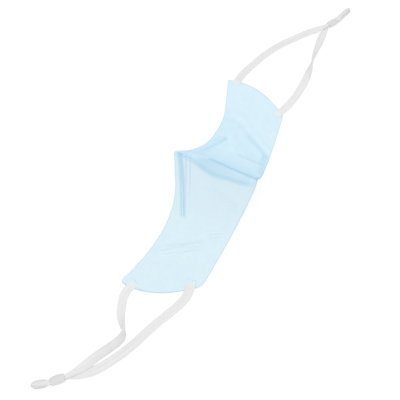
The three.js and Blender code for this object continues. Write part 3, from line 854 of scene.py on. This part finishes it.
def new_group(name, outputs):
    """An empty shader group that takes a place and puts out values."""
    tree = bpy.data.node_groups.new(name, "ShaderNodeTree")
    tree.interface.new_socket("Place", in_out="INPUT", socket_type="NodeSocketVector")
    for output in outputs:
        tree.interface.new_socket(output, in_out="OUTPUT", socket_type="NodeSocketFloat")
    entry = tree.nodes.new("NodeGroupInput")
    leave = tree.nodes.new("NodeGroupOutput")
    return tree, entry.outputs["Place"], leave


def spunbond_group():
    """Fibres, bond points and clouding of a spun-bonded sheet, for places in millimetres."""
    tree, place, leave = new_group("spunbond_sheet", ("Fibres", "Bonds", "Clouds"))
    turned = [stretched(tree, place, turn, (0.35, 5.0, 1.0)) for turn in (18, 76, 131)]
    strands = [grain(tree, vector, 1.0, 3) for vector in turned]
    crossed = figure(tree, "MAXIMUM", figure(tree, "MAXIMUM", strands[0], strands[1]), strands[2])
    lattice = add_node(tree, "ShaderNodeTexVoronoi", voronoi_dimensions="2D")
    feed(tree, lattice.inputs["Vector"], stretched(tree, place, 45, (0.9, 0.9, 1.0)))
    lattice.inputs["Scale"].default_value = 1.0
    lattice.inputs["Randomness"].default_value = 0.0
    bonds = figure(tree, "SUBTRACT", 1.0, eased(tree, lattice.outputs["Distance"], 0.16, 0.3))
    clouds = grain(tree, place, 0.16, 4)
    feed(tree, leave.inputs["Fibres"], eased(tree, crossed, 0.45, 0.8))
    feed(tree, leave.inputs["Bonds"], bonds)
    feed(tree, leave.inputs["Clouds"], eased(tree, clouds, 0.3, 0.7))
    return tree


def knit_group():
    """Lengthwise ribs and small loops of knitted elastic, for places in millimetres along and across."""
    tree, place, leave = new_group("knitted_elastic", ("Loops", "Fuzz"))
    split = add_node(tree, "ShaderNodeSeparateXYZ")
    feed(tree, split.inputs[0], place)
    rib = figure(tree, "SINE", figure(tree, "MULTIPLY", split.outputs["Y"], 2 * math.pi / RIB_PITCH))
    slant = figure(tree, "MULTIPLY", figure(tree, "ABSOLUTE", rib), 0.9)
    course = figure(tree, "MULTIPLY", split.outputs["X"], 2 * math.pi / COURSE_PITCH)
    loop = figure(tree, "SINE", figure(tree, "ADD", course, slant))
    loops = figure(tree, "MULTIPLY_ADD", loop, 0.3, figure(tree, "MULTIPLY_ADD", rib, 0.2, 0.5))
    feed(tree, leave.inputs["Loops"], loops)
    feed(tree, leave.inputs["Fuzz"], grain(tree, place, 2.6, 4))
    return tree


def between(tree, value, start, end):
    """A value of 1 between two limits, with soft ends."""
    rising, falling = eased(tree, value, start - 2, start + 2), eased(tree, value, end + 2, end - 2)
    return figure(tree, "MULTIPLY", rising, falling)


def crinkle_group():
    """Fine parallel crinkles in patches: their crests above nought, their troughs below it."""
    tree, place, leave = new_group("fine_crinkles", ("Crinkles",))
    turned = add_node(tree, "ShaderNodeSeparateXYZ")
    feed(tree, turned.inputs[0], stretched(tree, place, CRINKLE_TURN, (1, 1, 1)))
    along, across = turned.outputs["X"], turned.outputs["Y"]
    patches = 0.0
    for start, end, low, high in CRINKLE_PATCHES:
        patch = figure(tree, "MULTIPLY", between(tree, along, start, end), between(tree, across, low, high))
        patches = figure(tree, "MAXIMUM", patch, patches)
    wander = figure(tree, "MULTIPLY_ADD", grain(tree, place, 0.15, 2), 2.4, -1.2 - CRINKLE_START)
    turns = figure(tree, "MULTIPLY", figure(tree, "ADD", across, wander), 2 * math.pi / CRINKLE_PITCH)
    feed(tree, leave.inputs["Crinkles"], figure(tree, "MULTIPLY", figure(tree, "COSINE", turns), patches))
    return tree


def placed_group(tree, group, place):
    node = add_node(tree, "ShaderNodeGroup", node_tree=group)
    feed(tree, node.inputs["Place"], place)
    return node


def new_material(name):
    material = bpy.data.materials.new(name)
    material.use_nodes = True
    return material, material.node_tree, material.node_tree.nodes["Principled BSDF"]


def relief(tree, shader, height, strength, distance):
    bump = add_node(tree, "ShaderNodeBump")
    bump.inputs["Strength"].default_value = strength
    bump.inputs["Distance"].default_value = distance
    feed(tree, bump.inputs["Height"], height)
    feed(tree, shader.inputs["Normal"], bump.outputs["Normal"])


def weld_dots(tree, along, aside, pitch, radius):
    """A row of round weld points along a line."""
    cell = figure(tree, "SUBTRACT", figure(tree, "FRACT", figure(tree, "DIVIDE", along, pitch)), 0.5)
    step = figure(tree, "MULTIPLY", cell, pitch)
    squares = figure(tree, "ADD", figure(tree, "POWER", step, 2.0), figure(tree, "POWER", aside, 2.0))
    away = figure(tree, "SQRT", squares)
    return figure(tree, "SUBTRACT", 1.0, eased(tree, away, radius * 0.6, radius * 1.2))


def cloth_dots(tree, x, y, above_hem):
    """Weld points: two rows below the wire that fade away from the fold, and a faint row along the hem."""
    reach = figure(tree, "ABSOLUTE", x)
    rows = []
    for start, fall in NOSE_DOT_ROWS:
        line = figure(tree, "MULTIPLY_ADD", reach, -fall, start)
        aside = figure(tree, "SUBTRACT", y, line)
        rows.append(weld_dots(tree, reach, aside, NOSE_DOT_PITCH, NOSE_DOT_RADIUS))
    on_nose = figure(tree, "SUBTRACT", 1.0, eased(tree, reach, 6.0, 36.0))
    nose_dots = figure(tree, "MULTIPLY", figure(tree, "MAXIMUM", *rows), on_nose)
    fainter = figure(tree, "MULTIPLY_ADD", eased(tree, x, -2.0, 6.0), -0.7, 1.0)
    nose_dots = figure(tree, "MULTIPLY", nose_dots, fainter)
    from_row = figure(tree, "SUBTRACT", above_hem, HEM_WELD_INSET)
    hem_dots = weld_dots(tree, x, from_row, HEM_DOT_PITCH, HEM_DOT_RADIUS)
    return figure(tree, "MAXIMUM", nose_dots, figure(tree, "MULTIPLY", hem_dots, 0.25))


def cloth_colour(tree, sheet, x, dots, crinkles):
    """Light blue whose halves differ by painted sheen and shade, whiter on crests by painted highlight,
    deeper in folds by painted shade, and deeper at welds.
    """
    # Painted shade as deeper blue and painted highlight below nought, also the wire showing through and the
    # paler hem weld line
    painted_light_and_tone = attribute(tree, "painted_light_and_tone").outputs["Fac"]
    # Painted shade in the crinkles' troughs and painted highlight on their crests
    trough = figure(tree, "MULTIPLY", figure(tree, "MINIMUM", crinkles, 0.0), -0.06)
    shade_and_wire = figure(tree, "ADD", figure(tree, "MAXIMUM", painted_light_and_tone, 0.0), trough)
    crest = figure(tree, "MULTIPLY", figure(tree, "MAXIMUM", crinkles, 0.0), 0.28)
    highlight_and_weld_pale = figure(tree, "MAXIMUM", figure(tree, "SUBTRACT", crest, painted_light_and_tone), 0.0)
    # Painted sheen on the left half, painted shade on the right half
    left_painted_sheen = coloured(tree, sheet.outputs["Fibres"], CLOTH_LEFT_PAINTED_SHEEN, CLOTH_LEFT_FIBRES_PAINTED_SHEEN)
    right_painted_shade = coloured(tree, sheet.outputs["Fibres"], CLOTH_RIGHT_PAINTED_SHADE, CLOTH_RIGHT_FIBRES_PAINTED_SHADE)
    # Painted shade greys the left half beside the fold
    fold_shade_mask = figure(tree, "MULTIPLY", eased(tree, x, -46.0, -22.0), 0.8)
    left_with_fold_shade = coloured(tree, fold_shade_mask, left_painted_sheen, CLOTH_PAINTED_FOLD_SHADE)
    halves = coloured(tree, eased(tree, x, -1.0, 1.0), left_with_fold_shade, right_painted_shade)
    # Painted clearer blue over the lit rolls and in the shaded hollow
    plain = coloured(tree, attribute(tree, "painted_clear_blue").outputs["Fac"], halves, CLOTH_PAINTED_CLEAR)
    clouds = figure(tree, "MULTIPLY", sheet.outputs["Clouds"], 0.42)
    clouded = coloured(tree, clouds, plain, CLOTH_CLOUD)
    bonds = figure(tree, "MULTIPLY", sheet.outputs["Bonds"], 0.2)
    bonded = coloured(tree, bonds, clouded, CLOTH_BOND)
    welded = coloured(tree, figure(tree, "MULTIPLY", dots, 0.95), bonded, CLOTH_WELD)
    # Painted highlight on crests and the fold, also the paler hem weld line
    whitened = coloured(tree, highlight_and_weld_pale, welded, CLOTH_HIGHLIGHT_AND_WELD_PALE)
    # Painted shade deepens the blue, also where the wire shows through
    return coloured(tree, shade_and_wire, whitened, CLOTH_PAINTED_SHADE_AND_WIRE)


def cloth_material(spunbond, crinkle):
    """Light-blue spun-bonded cloth with painted light and shade, deeper where it wraps the wire from painted
    shade and the wire showing through, with rows of weld points.
    """
    material, tree, shader = new_material("light_blue_nonwoven")
    sheet = placed_group(tree, spunbond, attribute(tree, "cloth_place").outputs["Vector"])
    seam_place = attribute(tree, "seam_place").outputs["Vector"]
    crinkles = placed_group(tree, crinkle, seam_place).outputs["Crinkles"]
    seams = add_node(tree, "ShaderNodeSeparateXYZ")
    feed(tree, seams.inputs[0], seam_place)
    x, y, above_hem = seams.outputs
    dots = cloth_dots(tree, x, y, above_hem)
    feed(tree, shader.inputs["Base Color"], cloth_colour(tree, sheet, x, dots, crinkles))
    melted = figure(tree, "MAXIMUM", sheet.outputs["Bonds"], dots)
    feed(tree, shader.inputs["Roughness"], figure(tree, "MULTIPLY_ADD", melted, -0.25, 0.85))
    shader.inputs["Specular IOR Level"].default_value = 0.3
    shader.inputs["Sheen Weight"].default_value = 0.12
    shader.inputs["Sheen Roughness"].default_value = 0.5
    pressed = figure(tree, "MULTIPLY_ADD", crinkles, 0.4, figure(tree, "MULTIPLY", melted, -1.0))
    height = figure(tree, "MULTIPLY_ADD", sheet.outputs["Fibres"], 0.35, pressed)
    relief(tree, shader, height, 0.5, 0.00012)
    return material


def elastic_material(knit):
    """White knitted elastic. Its mask is above nought at the welds, below it where shade is painted: round
    the tip loop and where the band stands on edge.
    """
    material, tree, shader = new_material("white_knitted_elastic")
    place = attribute(tree, "band_place").outputs["Vector"]
    stitches = placed_group(tree, knit, place)
    weld = attribute(tree, "weld").outputs["Fac"]
    loops, fuzz = stitches.outputs["Loops"], stitches.outputs["Fuzz"]
    # Painted shade in the knit's valleys
    yarn = coloured(tree, eased(tree, loops, 0.1, 0.7), YARN_VALLEY_SHADE, YARN_LIGHT)
    speckled = coloured(tree, figure(tree, "MULTIPLY", fuzz, 0.4), yarn, YARN_FUZZ)
    streaks = eased(tree, grain(tree, stretched(tree, place, 0, (0.02, 1.3, 0.2)), 1.0, 3), 0.35, 0.65)
    streaked = coloured(tree, figure(tree, "MULTIPLY", streaks, 0.5), speckled, YARN_STREAK)
    pressed = coloured(tree, fuzz, PRESSED_DARK, PRESSED_LIGHT)
    across = add_node(tree, "ShaderNodeSeparateXYZ")
    feed(tree, across.inputs[0], place)
    # Painted shade round the tip loop and where the band stands on edge, darker towards the band's edges
    by_edge = eased(tree, figure(tree, "ABSOLUTE", across.outputs["Y"]), 0.6, 2.8)
    band_painted_shade = coloured(tree, by_edge, BAND_PAINTED_SHADE_MIDDLE, BAND_PAINTED_SHADE_EDGE)
    with_band_shade = coloured(tree, eased(tree, weld, 0.0, -1.0), streaked, band_painted_shade)
    half_melted = coloured(tree, eased(tree, weld, 0.0, 0.5), with_band_shade, pressed)
    melted = coloured(tree, eased(tree, weld, 0.5, 1.0), half_melted, MELTED)
    feed(tree, shader.inputs["Base Color"], melted)
    feed(tree, shader.inputs["Roughness"], figure(tree, "MULTIPLY_ADD", weld, -0.3, 0.9))
    shader.inputs["Specular IOR Level"].default_value = 0.25
    shader.inputs["Sheen Weight"].default_value = 0.2
    shader.inputs["Sheen Roughness"].default_value = 0.6
    height = figure(tree, "MULTIPLY_ADD", fuzz, 0.3, loops)
    relief(tree, shader, height, 0.6, 0.00015)
    return material


def wire_material():
    """Plastic-coated strip with faint drawing lines along it."""
    material, tree, shader = new_material("coated_nose_wire")
    place = attribute(tree, "wire_place").outputs["Vector"]
    lines = grain(tree, stretched(tree, place, 0, (0.15, 4.0, 1.0)), 1.0, 3)
    cores = attribute(tree, "between_cores").outputs["Fac"]
    coating = coloured(tree, lines, (0.70, 0.76, 0.80, 1), (0.80, 0.84, 0.86, 1))
    feed(tree, shader.inputs["Base Color"], coloured(tree, cores, coating, (0.62, 0.70, 0.75, 1)))
    feed(tree, shader.inputs["Roughness"], figure(tree, "MULTIPLY_ADD", lines, 0.2, 0.35))
    relief(tree, shader, lines, 0.3, 0.00005)
    return material


def bead_material():
    """Soft off-white silicone with a fine moulded grain."""
    material, tree, shader = new_material("off_white_silicone")
    place = add_node(tree, "ShaderNodeTexCoord").outputs["Object"]
    cloud = grain(tree, place, 260.0, 3)
    pits = grain(tree, place, 2600.0, 2)
    rubber = coloured(tree, cloud, (0.66, 0.66, 0.66, 1), (0.71, 0.71, 0.71, 1))
    feed(tree, shader.inputs["Base Color"], rubber)
    feed(tree, shader.inputs["Roughness"], figure(tree, "MULTIPLY_ADD", pits, 0.2, 0.38))
    shader.inputs["Subsurface Weight"].default_value = 0.25
    shader.inputs["Subsurface Radius"].default_value = (1.0, 0.9, 0.8)
    shader.inputs["Subsurface Scale"].default_value = 0.0015
    relief(tree, shader, pits, 0.25, 0.00006)
    return material


def make_floor():
    """Plain white floor."""
    bm = bmesh.new()
    bmesh.ops.create_grid(bm, x_segments=4, y_segments=4, size=4.0)
    material, tree, shader = new_material("white_floor")
    speck = grain(tree, add_node(tree, "ShaderNodeTexCoord").outputs["Object"], 40.0, 2)
    white = coloured(tree, speck, (0.32, 0.32, 0.32, 1), (0.33, 0.33, 0.33, 1))
    feed(tree, shader.inputs["Base Color"], white)
    shader.inputs["Emission Color"].default_value = (1.0, 1.0, 1.0, 1)
    shader.inputs["Emission Strength"].default_value = 0.7
    shader.inputs["Roughness"].default_value = 0.9
    shader.inputs["Specular IOR Level"].default_value = 0.1
    mesh = bpy.data.meshes.new("floor")
    bm.to_mesh(mesh)
    bm.free()
    mesh.materials.append(material)
    floor = bpy.data.objects.new("floor", mesh)
    floor.location.z = -0.0001
    bpy.context.scene.collection.objects.link(floor)


def add_light(name, place, size, power):
    """A soft square light that faces the cover."""
    lamp = bpy.data.lights.new(name, "AREA")
    lamp.shape = "SQUARE"
    lamp.size = size
    lamp.energy = power
    light = bpy.data.objects.new(name, lamp)
    light.location = place
    light.rotation_euler = (Vector((0, 0, 0)) - Vector(place)).to_track_quat("-Z", "Y").to_euler()
    bpy.context.scene.collection.objects.link(light)


def set_stage():
    """Floor, lights, surroundings, and the camera at the photograph's angle."""
    make_floor()
    add_light("overhead_softbox", (-0.4, -0.15, 1.55), 1.6, 10.5)
    add_light("side_fill", (0.9, 0.9, 0.9), 1.0, 1.5)
    world = bpy.data.worlds.new("white_room")
    world.use_nodes = True
    world.node_tree.nodes["Background"].inputs["Color"].default_value = (1.0, 1.0, 1.0, 1)
    world.node_tree.nodes["Background"].inputs["Strength"].default_value = 0.74
    scene = bpy.context.scene
    scene.world = world
    scene.view_settings.view_transform = "Standard"
    lens = bpy.data.cameras.new("camera")
    lens.lens = CAMERA_LENS
    lens.sensor_width = 36
    lens.sensor_fit = "HORIZONTAL"
    camera = bpy.data.objects.new("camera", lens)
    camera.location = in_row_frame(CAMERA_PLACE)
    camera.rotation_euler = (CAMERA_TARGET - CAMERA_PLACE).to_track_quat("-Z", "Y").to_euler()
    scene.collection.objects.link(camera)
    scene.camera = camera


cloth = cloth_material(spunbond_group(), crinkle_group())
elastic = elastic_material(knit_group())
silicone = bead_material()

set_stage()
make_panel(cloth)
make_nose_wire(wire_material())
make_ear_loop("elastic_left", "ear_loop_left", LEFT_BEAD, LEFT_LOWER_ROUTE, LEFT_UPPER_ROUTE, elastic)
make_ear_loop("elastic_right", "ear_loop_right", RIGHT_BEAD, RIGHT_UPPER_ROUTE, RIGHT_LOWER_ROUTE, elastic)
make_bead("slide_bead_left", "adjuster_left", LEFT_BEAD, silicone)
make_bead("slide_bead_right", "adjuster_right", RIGHT_BEAD, silicone)
